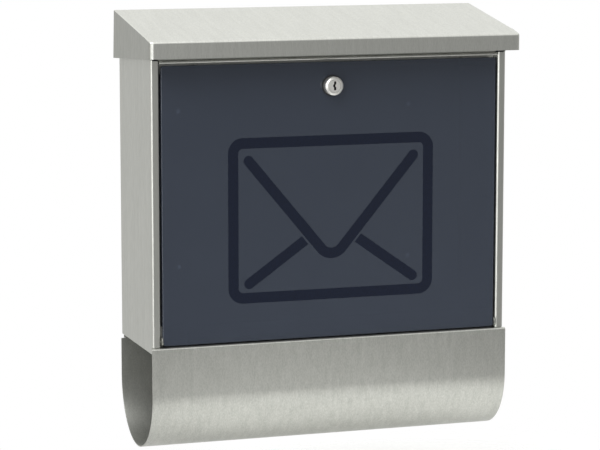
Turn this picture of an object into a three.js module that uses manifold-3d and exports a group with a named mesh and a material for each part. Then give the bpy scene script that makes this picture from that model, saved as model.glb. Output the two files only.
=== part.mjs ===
// Wall mounted mailbox in brushed stainless steel: a folded sheet casing with a smoked glass door that
// tilts down, a sloped lid over the letter slot and an open newspaper roll underneath.
//
// Millimetres. +X is to the right, +Y points into the wall and +Z up. The origin is the centre of the
// four fixing holes, in the plane of the wall, so the whole mailbox lies at y <= 0.

import * as THREE from 'three';
import { mergeVertices } from 'three/addons/utils/BufferGeometryUtils.js';
import Module from 'manifold-3d';

const wasm = await Module();
wasm.setup();

// ---------------------------------------------------------------- driving dimensions

// Casing
const body_width = 370;
const body_depth = 120; // wall to the front face of the frame
const steel = 1; // sheet thickness
const fold = 2; // outside radius of a folded edge
const seam = 0.3; // clearance between two pieces that touch
const frame_width = 8.5; // visible width of the folded frame beside the glass
const frame_return = 10; // depth of the frame's inner leg
const side_skirt = 4; // side panels reach this far below the compartment floor

// Glass door
const door_bottom = -138.5; // lower edge of the glass, from the fixing centre
const door_height = 275;
const door_gap = 2; // at the sides and above the glass
const sill_gap = 1.5; // below the glass
const glass = 4;
const glass_recess = 0.5; // behind the front face of the frame
const glass_corner = 3;

// Top rail of the frame
const rail_height = 19.5;
const rail_depth = 11;
const rail_nose = 3.1; // height of the rail's lower fold, the only part that shows under the lip
const rail_fold = rail_nose / 2 - 0.05; // outside radius of the small folds beside the groove
const rail_groove = { depth: 5, height: 7 }; // channel above the nose, which keeps rain out
const frame_gap = 4; // height of the opening in the frame's ends, in line with the groove
const rail_lip = 10; // downward leg that the cam and the door bumpers bear on
const rail_hem = 7; // downward leg at the back of the rail's upper flange

// Letter slot plate under the lid
const slot_depth = 33; // front to back opening of the letter slot
const slot_plate_lip = 12;
const slot_plate_drop = 2; // below the top of the rail

// Compartment floor and back panel
const flange = 12;
const floor_flange = 8; // front and back edges of the floor, turned down
const fixing_span_x = 250;
const fixing_span_z = 160;
const fixing_hole = 3.5; // radius

// Newspaper roll
const roll_proud = 4; // in front of the frame
const roll_wall = 48; // straight front wall above the half round
const roll_side = 1.5; // wider than the casing at each end
const roll_ledge = 12; // top ledge, from the roll's front to its rear edge under the door
const roll_lap = 40; // flat stretch at the back that laps the back panel

// Lid
const lid_reveal = 6.5; // lower edge of the lip above the rail's lower edge
const lid_lip = 16.5;
const lid_projection = 22.5; // lip in front of the frame
const lid_overhang = 6.5; // outside of the skirt beyond the casing's side
const lid_slope = THREE.MathUtils.degToRad(9.4);
const lid_skirt_drop = 9; // the skirt's back corner hangs lower than the lip
const lid_skirt_back = 4; // and reaches further back at its foot than at its top
const lid_corner = 4.5; // vertical corner between lip and skirt
const lid_nose = 3; // fold between top and lip
const lid_head_room = 2; // side panels stop this far below the lid

// Lid hinge
const hinge_length = 340;
const knuckles = 9; // odd ones belong to the lid
const knuckle_radius = 3.5;
const hinge_pin_radius = 1.5;
const hinge_leaf = 16;
const running_gap = 0.35;

// Door pivots
const pivot_pin_radius = 1.25;
const pivot_height = 4.5; // above the lower edge of the glass
const pivot_depth = 2.5; // behind the front face of the frame
const pivot_boss = 4.7; // radius of the round end of the bracket
const pivot_tab = 1.2;
const pivot_plate = { width: 26, height: 18, thickness: 1.5 };
const pivot_pin_reach = 4; // beyond the face of the frame's return

// Lock
const lock_below_top = 23.5; // lock centre below the top of the glass
const lock_head = { radius: 9.25, height: 8, chamfer: 1.7 };
const lock_barrel = 8; // radius of the threaded barrel
const plug_radius = 6;
const keyway = { width: 1.8, height: 9, depth: 12 };
const plug_square = 6;
const nut = { across: 22, thickness: 4 };
const lock_seal = { radius: 10.5, thickness: 0.8 };
const cam = { reach: 25, width: 14, thickness: 2 };
const cam_screw = { head: 4.5, head_height: 2.5, shank: 1.5, length: 5 };

// Rubber parts
const bumper_radius = 4;
const bumper_inset = 45; // from the casing's side to the centre of a bumper
const fixing_seal = { radius: 8, thickness: 1.2, bore: 2.3 };

// ---------------------------------------------------------------- sizes that follow

const half = body_width / 2;
const front = -body_depth;
const door_top = door_bottom + door_height;
const frame_inner = half - frame_width;
const glass_half = frame_inner - door_gap;
const glass_front = front + glass_recess;
const glass_back = glass_front + glass;

const rail_bottom = door_top + door_gap;
const rail_top = rail_bottom + rail_height;
const rail_back = front + rail_depth;
const rail_half = frame_inner - seam;

const roll_top = door_bottom - sill_gap;
const ledge_under = roll_top - steel;
const floor_top = ledge_under - seam;
const floor_under = floor_top - steel;
const roll_front = front - roll_proud;
const roll_back = -steel - seam;
const roll_radius = (roll_back - roll_front) / 2;
const roll_axis = roll_top - roll_wall;
const roll_bottom = roll_axis - roll_radius;
const inner_half = half - steel - seam;

const lid_front = front - lid_projection;
const nose_top = rail_bottom + rail_nose;
const lip_bottom = rail_bottom + lid_reveal;
const lip_top = lip_bottom + lid_lip;
const lid_half = half + lid_overhang;
const hinge_y = -steel - seam - knuckle_radius;
const lid_back = hinge_y;
const lidTop = (y) => lip_top + (y - lid_front) * Math.tan(lid_slope);
const lidUnder = (y, below = 0) => lidTop(y) - (steel + below) / Math.cos(lid_slope);
const hinge_z = lidUnder(hinge_y, seam + knuckle_radius);
const back_panel_top = hinge_z - 2;

const pivot_y = front + pivot_depth;
const pivot_z = door_bottom + pivot_height;
const lock_z = door_top - lock_below_top;

// ---------------------------------------------------------------- geometry helpers

const xyz = (x, y, z) => new THREE.Vector3(x, y, z);

// The exact solid of a closed three.js geometry.
function solidOf(geometry) {
  const bare = geometry.clone();
  bare.deleteAttribute('normal');
  bare.deleteAttribute('uv');
  const merged = mergeVertices(bare, 1e-4);
  return new wasm.Manifold(new wasm.Mesh({
    numProp: 3,
    vertProperties: Float32Array.from(merged.attributes.position.array),
    triVerts: Uint32Array.from(merged.index.array),
  }));
}

// An outline drawn in a plane spanned by the axes u and v, and extruded along u x v.
function prism(outline, u, v, from, to) {
  const w = u.clone().cross(v);
  const shape = new THREE.Shape(outline.map(([a, b]) => new THREE.Vector2(a, b)));
  const geometry = new THREE.ExtrudeGeometry(shape, { depth: to - from, bevelEnabled: false });
  geometry.translate(0, 0, from);
  geometry.applyMatrix4(new THREE.Matrix4().makeBasis(u, v, w));
  return solidOf(geometry);
}

const X = xyz(1, 0, 0);
const Y = xyz(0, 1, 0);
const Z = xyz(0, 0, 1);
const alongX = (outline, from, to) => prism(outline, Y, Z, from, to); // outline in (y, z)
const alongY = (outline, from, to) => prism(outline, Z, X, from, to); // outline in (z, x)
const alongZ = (outline, from, to) => prism(outline, X, Y, from, to); // outline in (x, y)

function box(x0, x1, y0, y1, z0, z1) {
  return alongZ([[x0, y0], [x1, y0], [x1, y1], [x0, y1]], z0, z1);
}

const circle = (a, b, radius, sides = 32) => Array.from({ length: sides }, (_, i) => {
  const turn = (i / sides) * 2 * Math.PI;
  return [a + radius * Math.cos(turn), b + radius * Math.sin(turn)];
});

const rodX = (y, z, radius, from, to, sides) => alongX(circle(y, z, radius, sides), from, to);
const rodY = (x, z, radius, from, to, sides) => alongY(circle(z, x, radius, sides), from, to);

// A rectangle with rounded corners, as an outline.
function roundedRectangle(a0, a1, b0, b1, radius, steps = 5) {
  const centres = [[a1 - radius, b1 - radius], [a0 + radius, b1 - radius],
    [a0 + radius, b0 + radius], [a1 - radius, b0 + radius]];
  return centres.flatMap(([a, b], corner) => Array.from({ length: steps + 1 }, (_, i) => {
    const turn = (corner + i / steps) * Math.PI / 2;
    return [a + radius * Math.cos(turn), b + radius * Math.sin(turn)];
  }));
}

// The outline of a folded sheet whose middle line runs through the corners. A corner may carry its
// own outside radius as a third number.
function foldedSheet(corners, thickness = steel, outside = fold) {
  const skins = [[], []];
  const put = (point, normal) => skins.forEach((skin, i) => {
    const offset = (i ? -1 : 1) * thickness / 2;
    skin.push([point.x + normal.x * offset, point.y + normal.y * offset]);
  });
  const points = corners.map(([a, b]) => new THREE.Vector2(a, b));
  const leftOf = (d) => new THREE.Vector2(-d.y, d.x);
  const direction = (i) => points[i + 1].clone().sub(points[i]).normalize();
  put(points[0], leftOf(direction(0)));
  for (let i = 1; i < points.length - 1; i += 1) {
    const into = direction(i - 1);
    const turn = Math.atan2(into.cross(direction(i)), into.dot(direction(i)));
    const radius = (corners[i][2] ?? outside) - thickness / 2;
    const setback = radius * Math.tan(Math.abs(turn) / 2);
    const start = points[i].clone().addScaledVector(into, -setback);
    const centre = start.clone().addScaledVector(leftOf(into), Math.sign(turn) * radius);
    const steps = Math.max(3, Math.round(Math.abs(turn) * Math.sqrt(radius) * 2.2));
    for (let k = 0; k <= steps; k += 1) {
      const angle = turn * k / steps;
      const normal = leftOf(into).rotateAround(new THREE.Vector2(), angle);
      put(start.clone().rotateAround(centre, angle), normal);
    }
  }
  put(points.at(-1), leftOf(direction(points.length - 2)));
  return [...skins[0], ...skins[1].reverse()];
}

// A turned part on an axis along Y: profile points are [radius, y].
function turned(profile, x, z, sides = 32) {
  const geometry = new THREE.LatheGeometry(profile.map(([r, y]) => new THREE.Vector2(r, y)), sides);
  geometry.translate(x, 0, z);
  return solidOf(geometry);
}

// ---------------------------------------------------------------- materials

const finish = (color, roughness, metalness, extra = {}) => (
  new THREE.MeshStandardMaterial({ color, roughness, metalness, ...extra }));
const brushed_steel = finish(0xb4b5ae, 0.38, 1);
const inner_steel = finish(0xa3a49e, 0.45, 1);
const hinge_steel = finish(0x8f908b, 0.4, 1);
const smoked_glass = finish(0x3b414c, 0.06, 0, { transparent: true, opacity: 0.75 });
const lock_chrome = finish(0xd6d7d6, 0.18, 1);
const zinc_plate = finish(0x9a9b98, 0.42, 1);
const black_rubber = finish(0x1b1c1e, 0.85, 0);

const mailbox = new THREE.Group();

function add(name, solid, material) {
  const { vertProperties, triVerts } = solid.getMesh();
  const geometry = new THREE.BufferGeometry();
  geometry.setAttribute('position', new THREE.BufferAttribute(vertProperties, 3));
  geometry.setIndex(new THREE.BufferAttribute(triVerts, 1));
  geometry.computeVertexNormals();
  const mesh = new THREE.Mesh(geometry, material);
  mesh.name = name;
  mailbox.add(mesh);
}

const mirrorPoints = (points, side) => points.map(([a, b, ...rest]) => [a * side, b, ...rest]);
const sides = [['left', -1], ['right', 1]];

// The lower and upper end of a length from a to b, on the left side (-1) or the right (1).
const span = (side, a, b) => [Math.min(side * a, side * b), Math.max(side * a, side * b)];

// ---------------------------------------------------------------- casing

// Side panel: the side, the narrow frame folded in front of the opening and the leg behind it.
function sidePanel(side) {
  const mid = steel / 2;
  const section = foldedSheet(mirrorPoints([
    [half - mid, 0],
    [half - mid, front + mid],
    [frame_inner + mid, front + mid],
    [frame_inner + mid, front + frame_return],
  ], side));
  const tall = lidTop(0) + steel;
  const over = half + steel;
  const sheet = alongZ(section, floor_under - side_skirt, tall);
  const roof = alongX([
    [front - over, lidUnder(front - over, lid_head_room)],
    [over, lidUnder(over, lid_head_room)],
    [over, tall + over], [front - over, tall + over],
  ], -over, over);
  const inside = half - fold;
  const [x0, x1] = side > 0 ? [0, inside] : [-inside, 0];
  const sill = box(x0, x1, front - steel, front + frame_return + steel, roll_bottom, roll_top + seam);
  const corner = side > 0 ? [inside - steel, over] : [-over, steel - inside];
  const notch = box(...corner, front - steel, front + fold + steel, roll_bottom, roll_top + seam);
  const gap = box(x0, x1, front - steel, front + frame_return + steel, nose_top, nose_top + frame_gap);
  const pivot = rodX(pivot_y, pivot_z, pivot_pin_radius + running_gap, ...span(side, 0, inside), 20);
  const snip = box(-over, over, roll_back - steel / 2, steel, back_panel_top, tall + steel);
  return [roof, snip, sill, notch, gap, pivot].reduce((left, tool) => left.subtract(tool), sheet);
}

// Back panel: flat against the wall, with a flange down each side inside the casing.
function backPanel() {
  const mid = steel / 2;
  const section = foldedSheet([
    [-inner_half + mid, -flange], [-inner_half + mid, -mid],
    [inner_half - mid, -mid], [inner_half - mid, -flange],
  ]);
  const upper = alongZ(section, floor_top + seam, back_panel_top);
  const lower = box(-inner_half + fold, inner_half - fold, -steel, 0, roll_axis, floor_top + fold);
  let panel = upper.add(lower);
  for (const [x, z] of fixingPoints()) {
    panel = panel.subtract(rodY(x, z, fixing_hole, -flange, flange, 24));
  }
  return panel;
}

function fixingPoints() {
  const x = fixing_span_x / 2;
  const z = fixing_span_z / 2;
  return [[-x, z], [x, z], [-x, -z], [x, -z]];
}

// Top rail: a folded channel above the door. Its lower leg hangs behind the glass.
function topRail() {
  const mid = steel / 2;
  const groove_back = front + rail_groove.depth;
  const groove_top = nose_top + rail_groove.height;
  return alongX(foldedSheet([
    [rail_back - mid, rail_bottom - rail_lip],
    [rail_back - mid, rail_bottom + mid],
    [front + mid, rail_bottom + mid, rail_fold],
    [front + mid, nose_top - mid, rail_fold],
    [groove_back + mid, nose_top - mid, rail_fold],
    [groove_back + mid, groove_top + mid, rail_fold],
    [front + mid, groove_top + mid, rail_fold],
    [front + mid, rail_top - mid],
    [rail_back - mid, rail_top - mid],
    [rail_back - mid, rail_top - rail_hem],
  ]), -rail_half, rail_half);
}

// Slot plate: covers the compartment behind the letter slot, and stops a hand reaching down.
function slotPlate() {
  const mid = steel / 2;
  const z = rail_top - slot_plate_drop - mid;
  const lip = rail_back + slot_depth + mid;
  const back = -steel - seam - mid;
  const sheet = alongX(foldedSheet([
    [lip, z - slot_plate_lip], [lip, z], [back, z], [back, z - flange],
  ]), -inner_half, inner_half);
  const corner = flange + seam;
  const cut = (side) => box(
    ...span(side, inner_half - steel - seam, half), -corner, 0, z - half, z + half);
  return sheet.subtract(cut(-1)).subtract(cut(1));
}

// Compartment floor: a tray whose side flanges stand up and whose front and back flanges hang down.
function compartmentFloor() {
  const mid = steel / 2;
  const tray = alongX(foldedSheet([
    [front + steel + mid, floor_under - floor_flange],
    [front + steel + mid, floor_top - mid],
    [-steel - seam - mid, floor_top - mid],
    [-steel - seam - mid, floor_under - floor_flange],
  ]), -inner_half, inner_half);
  const wall = (side) => box(
    ...span(side, inner_half - steel, inner_half),
    front + rail_depth + steel, -flange - steel, floor_top - mid, floor_top + flange);
  return tray.add(wall(-1)).add(wall(1));
}

// Newspaper roll: one long sheet, open at both ends, with a ledge under the door at the front.
function newspaperRoll() {
  const mid = steel / 2;
  const low = roll_bottom + mid;
  const section = foldedSheet([
    [roll_front + roll_ledge, roll_top - mid],
    [roll_front + mid, roll_top - mid],
    [roll_front + mid, low, roll_radius],
    [roll_back - mid, low, roll_radius],
    [roll_back - mid, Math.min(roll_axis + roll_lap, floor_under - floor_flange - seam)],
  ]);
  const roll_half = half + roll_side;
  const sheet = alongX(section, -roll_half, roll_half);
  const cut = (side) => box(
    ...span(side, inner_half, roll_half + steel),
    front - seam, front + half, roll_top - fold, roll_top + steel);
  return sheet.subtract(cut(-1)).subtract(cut(1));
}

for (const [word, side] of sides) add(`${word}_side_panel`, sidePanel(side), brushed_steel);
add('back_panel', backPanel(), inner_steel);
add('top_rail', topRail(), brushed_steel);
add('slot_plate', slotPlate(), inner_steel);
add('compartment_floor', compartmentFloor(), inner_steel);
add('newspaper_roll', newspaperRoll(), brushed_steel);

// ---------------------------------------------------------------- lid

// The outside of the lid seen from the side, and the same drawn one sheet thickness inside.
function lidSide(inset) {
  const foot = lip_bottom - (inset ? half : 0);
  const heel = lip_bottom - lid_skirt_drop - (inset ? half : 0);
  const y0 = lid_front + inset;
  const lift = inset ? lid_projection : 0;
  const top = (y) => (inset ? lidUnder(y) : lidTop(y));
  const nose = lid_nose - inset;
  const nose_turn = Math.PI / 2 - lid_slope;
  const setback = nose * Math.tan(nose_turn / 2);
  const centre = [y0 + nose, top(y0) - setback];
  const arc = Array.from({ length: 6 }, (_, i) => {
    const turn = Math.PI - nose_turn * i / 5;
    return [centre[0] + nose * Math.cos(turn), centre[1] + nose * Math.sin(turn)];
  });
  return [
    [y0, foot], ...arc, [lid_back + lift, top(lid_back + lift)],
    [lid_back + lid_skirt_back + lift, heel],
  ];
}

// The outside of the lid seen from above, with its two rounded front corners.
function lidPlan(inset) {
  const r = lid_corner - inset;
  const x = lid_half - inset;
  const y0 = lid_front + inset;
  const quarter = (cx, from) => Array.from({ length: 6 }, (_, i) => {
    const turn = from + (i / 5) * Math.PI / 2;
    return [cx + r * Math.cos(turn), y0 + r + r * Math.sin(turn)];
  });
  const back = [[x, body_depth], [-x, body_depth]];
  return [...quarter(-(x - r), Math.PI), ...quarter(x - r, 1.5 * Math.PI), ...back];
}

function lid() {
  const shell = (inset) => alongX(lidSide(inset), -lid_half, lid_half)
    .intersect(alongZ(lidPlan(inset), -body_width, body_width));
  return shell(0).subtract(shell(steel));
}

add('lid', lid(), brushed_steel);

// ---------------------------------------------------------------- lid hinge

const knuckle_pitch = hinge_length / knuckles;

function knuckleRods(odd, radius, gap) {
  const rods = [];
  for (let i = odd ? 1 : 0; i < knuckles; i += 2) {
    const start = -hinge_length / 2 + i * knuckle_pitch;
    rods.push(rodX(hinge_y, hinge_z, radius, start + gap, start + knuckle_pitch - gap, 20));
  }
  return rods;
}

function hingeLeaf(plate, odd) {
  let leaf = plate;
  for (const rod of knuckleRods(!odd, knuckle_radius + seam, -seam / 2)) leaf = leaf.subtract(rod);
  for (const rod of knuckleRods(odd, knuckle_radius, seam / 2)) leaf = leaf.add(rod);
  const bore = rodX(hinge_y, hinge_z, hinge_pin_radius + running_gap, -half, half, 16);
  return leaf.subtract(bore);
}

const lid_plate = alongX([
  [hinge_y, lidUnder(hinge_y, seam)],
  [hinge_y - hinge_leaf, lidUnder(hinge_y - hinge_leaf, seam)],
  [hinge_y - hinge_leaf, lidUnder(hinge_y - hinge_leaf, seam + steel)],
  [hinge_y, lidUnder(hinge_y, seam + steel)],
], -hinge_length / 2, hinge_length / 2);
const back_plate = box(-hinge_length / 2, hinge_length / 2,
  -2 * steel - seam, -steel - seam, hinge_z - hinge_leaf, hinge_z);

add('lid_hinge_leaf', hingeLeaf(lid_plate, true), hinge_steel);
add('body_hinge_leaf', hingeLeaf(back_plate, false), hinge_steel);
add('lid_hinge_pin', rodX(hinge_y, hinge_z, hinge_pin_radius,
  -hinge_length / 2 - steel, hinge_length / 2 + steel, 16), hinge_steel);

// ---------------------------------------------------------------- glass door

function glassPane() {
  const plate = alongY(roundedRectangle(door_bottom, door_top, -glass_half, glass_half, glass_corner),
    glass_front, glass_back);
  return plate.subtract(rodY(0, lock_z, lock_barrel + seam, glass_front - 1, glass_back + 1, 32));
}

// Pivot bracket: a plate bonded behind the glass, a round tab beside its edge and a pin.
function doorPivot(side) {
  const { width, height, thickness } = pivot_plate;
  const tab_in = glass_half + seam;
  const tab_out = tab_in + pivot_tab;
  const pin_end = frame_inner + pivot_pin_reach;
  const plate = box(
    ...span(side, glass_half - width, tab_out), glass_back + seam, glass_back + seam + thickness,
    door_bottom + steel, door_bottom + steel + height);
  const tab = rodX(pivot_y, pivot_z, pivot_boss, ...span(side, tab_in, tab_out), 28);
  const pin = rodX(pivot_y, pivot_z, pivot_pin_radius, ...span(side, tab_in, pin_end), 16);
  return plate.add(tab).add(pin);
}

add('glass_pane', glassPane(), smoked_glass);
for (const [word, side] of sides) add(`door_pivot_${word}`, doorPivot(side), hinge_steel);

// ---------------------------------------------------------------- lock

const seal_front = glass_front - seam - lock_seal.thickness;
const head_back = seal_front - seam;
const head_front = head_back - lock_head.height;
const washer_back = glass_back + seam + lock_seal.thickness;
const nut_front = washer_back + seam;
const barrel_back = Math.max(nut_front + nut.thickness + seam, rail_back + seam);
const cam_front = barrel_back + seam;
const cam_back = cam_front + cam.thickness;

function lockHousing() {
  const { radius, chamfer } = lock_head;
  const bore = plug_radius + seam;
  return turned([
    [bore, head_front], [radius - chamfer, head_front],
    [radius, head_front + chamfer], [radius, head_back],
    [lock_barrel, head_back], [lock_barrel, barrel_back], [bore, barrel_back], [bore, head_front],
  ], 0, lock_z);
}

const ring = (inner, outer, from, to, x, z, sides) => (
  turned([[inner, from], [outer, from], [outer, to], [inner, to], [inner, from]], x, z, sides));

// Plug: the round core with its keyway, and a square tail that carries the cam.
function lockPlug() {
  const side = plug_square / 2;
  const tail_back = cam_back - seam;
  const core = rodY(0, lock_z, plug_radius, head_front + seam, barrel_back, 28);
  const tail = box(-side, side, barrel_back - 1, tail_back, lock_z - side, lock_z + side);
  const slot = box(-keyway.width / 2, keyway.width / 2, head_front - 1, head_front + keyway.depth,
    lock_z - keyway.height / 2, lock_z + keyway.height / 2);
  const thread_end = cam_back - cam_screw.length - seam;
  const thread = rodY(0, lock_z, cam_screw.shank + seam, thread_end, cam_back + 1, 16);
  return core.add(tail).subtract(slot).subtract(thread);
}

function lockCam() {
  const end = cam.width / 2;
  const outline = roundedRectangle(lock_z - end, lock_z + end, -end, cam.reach, end - 1);
  const bar = alongY(outline, cam_front, cam_back);
  const hole = plug_square / 2 + seam;
  return bar.subtract(box(-hole, hole, cam_front - 1, cam_back + 1, lock_z - hole, lock_z + hole));
}

function camScrew() {
  const head_at = cam_back + seam;
  const tip = cam_back - cam_screw.length;
  return turned([
    [0, tip], [cam_screw.shank, tip], [cam_screw.shank, head_at],
    [cam_screw.head, head_at], [cam_screw.head, head_at + cam_screw.head_height / 2],
    [cam_screw.head * 0.7, head_at + cam_screw.head_height], [0, head_at + cam_screw.head_height],
  ], 0, lock_z, 20);
}

function lockNut() {
  const hexagon = circle(lock_z, 0, nut.across / 2 / Math.cos(Math.PI / 6), 6);
  return alongY(hexagon, nut_front, nut_front + nut.thickness)
    .subtract(rodY(0, lock_z, lock_barrel + seam, nut_front - 1, nut_front + nut.thickness + 1, 32));
}

add('lock_housing', lockHousing(), lock_chrome);
const lockRing = (from, to) => ring(lock_barrel + seam, lock_seal.radius, from, to, 0, lock_z);
add('lock_seal', lockRing(seal_front, glass_front - seam), black_rubber);
add('lock_washer', lockRing(glass_back + seam, washer_back), zinc_plate);
add('lock_nut', lockNut(), zinc_plate);
add('lock_plug', lockPlug(), lock_chrome);
add('lock_cam', lockCam(), zinc_plate);
add('cam_screw', camScrew(), zinc_plate);

// ---------------------------------------------------------------- rubber bumpers and seals

const bumper_x = half - bumper_inset;
const lid_bumper_y = front + rail_depth / 2;
const lid_bumper_top = lidUnder(lid_bumper_y - bumper_radius, seam);
const door_bumper_z = door_top - bumper_radius;

for (const [word, side] of sides) {
  const x = side * bumper_x;
  const stud = alongZ(circle(x, lid_bumper_y, bumper_radius, 20), rail_top + seam, lid_bumper_top);
  add(`lid_bumper_${word}`, stud, black_rubber);
  const pad = rodY(x, door_bumper_z, bumper_radius, glass_back + seam, rail_back - steel - seam, 20);
  add(`door_bumper_${word}`, pad, black_rubber);
}

const fixing_names = ['upper_left', 'upper_right', 'lower_left', 'lower_right'];
fixingPoints().forEach(([x, z], i) => {
  const { radius, thickness, bore } = fixing_seal;
  const flange_back = -steel - seam;
  const neck = fixing_hole - seam;
  const seal = turned([
    [bore, flange_back - thickness], [radius, flange_back - thickness], [radius, flange_back],
    [neck, flange_back], [neck, -seam], [bore, -seam], [bore, flange_back - thickness],
  ], x, z, 24);
  add(`fixing_seal_${fixing_names[i]}`, seal, black_rubber);
});

export default mailbox;
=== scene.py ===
# %% [markdown]
# # A wall mounted mailbox in brushed stainless steel
# The mailbox is folded from thin steel sheet. It has a smoked glass door that tilts down, a sloped lid
# over the letter slot and an open roll for a newspaper underneath. Its sizes and its moving bodies come
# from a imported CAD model, which is loaded first and is never moved. Everything that is made here is
# placed by that model, in metres: X to the right, Y into the wall and Z up.

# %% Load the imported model
from math import cos, radians, sin, tan

import bmesh
import bpy
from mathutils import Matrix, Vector


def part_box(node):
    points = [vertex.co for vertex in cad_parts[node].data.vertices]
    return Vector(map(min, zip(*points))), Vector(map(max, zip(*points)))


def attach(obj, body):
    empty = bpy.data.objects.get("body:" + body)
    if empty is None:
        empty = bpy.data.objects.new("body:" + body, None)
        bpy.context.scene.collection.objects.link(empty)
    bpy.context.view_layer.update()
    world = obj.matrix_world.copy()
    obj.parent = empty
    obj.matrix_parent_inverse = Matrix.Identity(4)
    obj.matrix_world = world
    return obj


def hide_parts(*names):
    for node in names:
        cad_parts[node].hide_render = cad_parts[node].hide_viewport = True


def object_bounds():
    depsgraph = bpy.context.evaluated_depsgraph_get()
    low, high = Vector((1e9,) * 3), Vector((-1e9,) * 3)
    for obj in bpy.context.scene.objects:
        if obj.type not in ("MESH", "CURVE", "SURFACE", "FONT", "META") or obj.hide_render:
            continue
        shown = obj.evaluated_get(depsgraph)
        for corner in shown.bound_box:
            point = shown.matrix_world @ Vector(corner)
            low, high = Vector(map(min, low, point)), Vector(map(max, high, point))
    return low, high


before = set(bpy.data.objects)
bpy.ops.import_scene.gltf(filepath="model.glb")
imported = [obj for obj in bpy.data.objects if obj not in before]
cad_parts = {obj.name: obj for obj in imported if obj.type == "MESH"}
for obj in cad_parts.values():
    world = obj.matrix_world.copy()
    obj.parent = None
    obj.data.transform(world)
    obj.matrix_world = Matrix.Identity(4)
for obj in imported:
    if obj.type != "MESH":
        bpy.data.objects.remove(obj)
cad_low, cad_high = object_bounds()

MM = 0.001
print("size in mm:", [round(side / MM, 1) for side in cad_high - cad_low])

# %% [markdown]
# ## The camera
# A mailbox is usually shown from a little above and from its left, with a long lens, so that its sides
# stay nearly parallel. The camera stands two and a half metres away and looks a few degrees down.

# %% Camera
bpy.ops.object.camera_add(
    location=(-0.8172, -2.4848, 0.3411),
    rotation=(radians(90 - 8.35), 0, radians(-18.34)),
)
camera = bpy.context.object
camera.name = "camera"
camera.data.lens = 152.6
camera.data.sensor_width = 36
camera.data.clip_end = 60
bpy.context.scene.camera = camera
print("camera at", [round(value, 3) for value in camera.location])

# %% [markdown]
# ## Colours and nodes
# A colour picker gives sRGB hex values, and a shader wants linear light, so one function turns the first
# into the second. Every material below is a small graph of nodes. One function adds a node, sets its
# options and fills its sockets: a plain value is set on the socket, and another node's output is linked.

# %% Colour and node helpers
def linear(code):
    """A hex colour such as "c8c9c4" as linear RGB with alpha."""
    values = [int(code[i : i + 2], 16) / 255 for i in (0, 2, 4)]
    return [v / 12.92 if v <= 0.04045 else ((v + 0.055) / 1.055) ** 2.4 for v in values] + [1.0]


def node(tree, kind, sockets=None, **options):
    """A node with its options set and its sockets filled or linked."""
    made = tree.nodes.new("ShaderNode" + kind)
    for option, value in options.items():
        setattr(made, option, value)
    for socket, value in (sockets or {}).items():
        if isinstance(value, bpy.types.NodeSocket):
            tree.links.new(value, made.inputs[socket])
        else:
            made.inputs[socket].default_value = value
    return made


def new_material(name):
    """An empty material, and the tree that its nodes go in."""
    material = bpy.data.materials.new(name)
    material.use_nodes = True
    material.node_tree.nodes.clear()
    return material, material.node_tree


print("mid grey in linear light:", round(linear("808080")[0], 3))

# %% [markdown]
# ## Studio light
# Polished and brushed metal shows what stands around it, so the room matters more than the lamps. It
# could be a picture of a real studio, but a few soft patches are enough, and need no file. The room is
# bright above and behind and darker in front. A strong patch at the left lights the straight folds and
# the round of the newspaper roll, as a tall window would. Each patch is a direction: where a ray points
# along it, the light goes smoothly from one strength to another. The camera itself sees plain white.

# %% World and lamps
world = bpy.data.worlds.new("soft_studio")
world.use_nodes = True
bpy.context.scene.world = world
room = world.node_tree
room.nodes.clear()
ray = node(room, "TexCoord").outputs["Generated"]
patches = (  # direction, where along it the change starts and ends, strength before and after
    ((0, 1, 0), (-0.95, 0.9), (0.34, 0.8)),
    ((0, 0, 1), (0.2, 0.79), (0.0, 0.95)),
    ((0, 0, 1), (0.65, 0.95), (0.0, -0.5)),
    ((1, 0, 0), (0.1, 0.5), (-0.05, 0.05)),
    ((-0.95, -0.35, 0), (0.86, 0.99), (0.0, 1.6)),
    ((-0.9, 0.45, 0), (0.88, 0.98), (0.0, -0.15)),
)
strength = 0.0
for aim, (start, end), (before, after) in patches:
    facing = node(room, "VectorMath", {0: ray, 1: Vector(aim).normalized()}, operation="DOT_PRODUCT")
    patch = node(
        room, "MapRange", {"Value": facing.outputs["Value"], 1: start, 2: end, 3: before, 4: after},
        interpolation_type="SMOOTHSTEP",
    )
    strength = node(room, "Math", {0: strength, 1: patch.outputs[0]}, operation="ADD").outputs[0]
soft_light = node(room, "Background", {"Color": linear("fdfdfb"), "Strength": strength})
white = node(room, "Background", {"Color": (1, 1, 1, 1), "Strength": 1.0})
seen = node(
    room, "MixShader",
    {0: node(room, "LightPath").outputs["Is Camera Ray"], 1: soft_light.outputs[0], 2: white.outputs[0]},
)
node(room, "OutputWorld", {"Surface": seen.outputs[0]})


def softbox(name, place, target, size, power):
    """A square lamp of this size in metres and power in watts, which the camera doesn't see."""
    bpy.ops.object.light_add(type="AREA", location=place)
    lamp = bpy.context.object
    lamp.name = name
    lamp.rotation_euler = (Vector(target) - Vector(place)).to_track_quat("-Z", "Y").to_euler()
    lamp.data.size = size
    lamp.data.energy = power
    lamp.visible_camera = False


softbox("key_softbox", (-1.2, -0.9, 2.0), (0, -0.2, -0.2), 2.0, 52)
softbox("fill_softbox", (-1.3, -2.2, 0.0), (0, -0.1, 0.05), 1.2, 14)
bpy.context.scene.view_settings.view_transform = "Standard"
bpy.context.scene.view_settings.look = "None"
print("patches of light:", len(patches), "and two softboxes")

# %% [markdown]
# ## The floor
# The mailbox hangs on a wall, so the floor lies some way below it. It is plain matt board, nearly white,
# and it throws light up into the round underside of the newspaper roll. It is a disc that fades out
# before it ends, because the glass door would show a hard edge as an arc when it hangs open.

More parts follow.
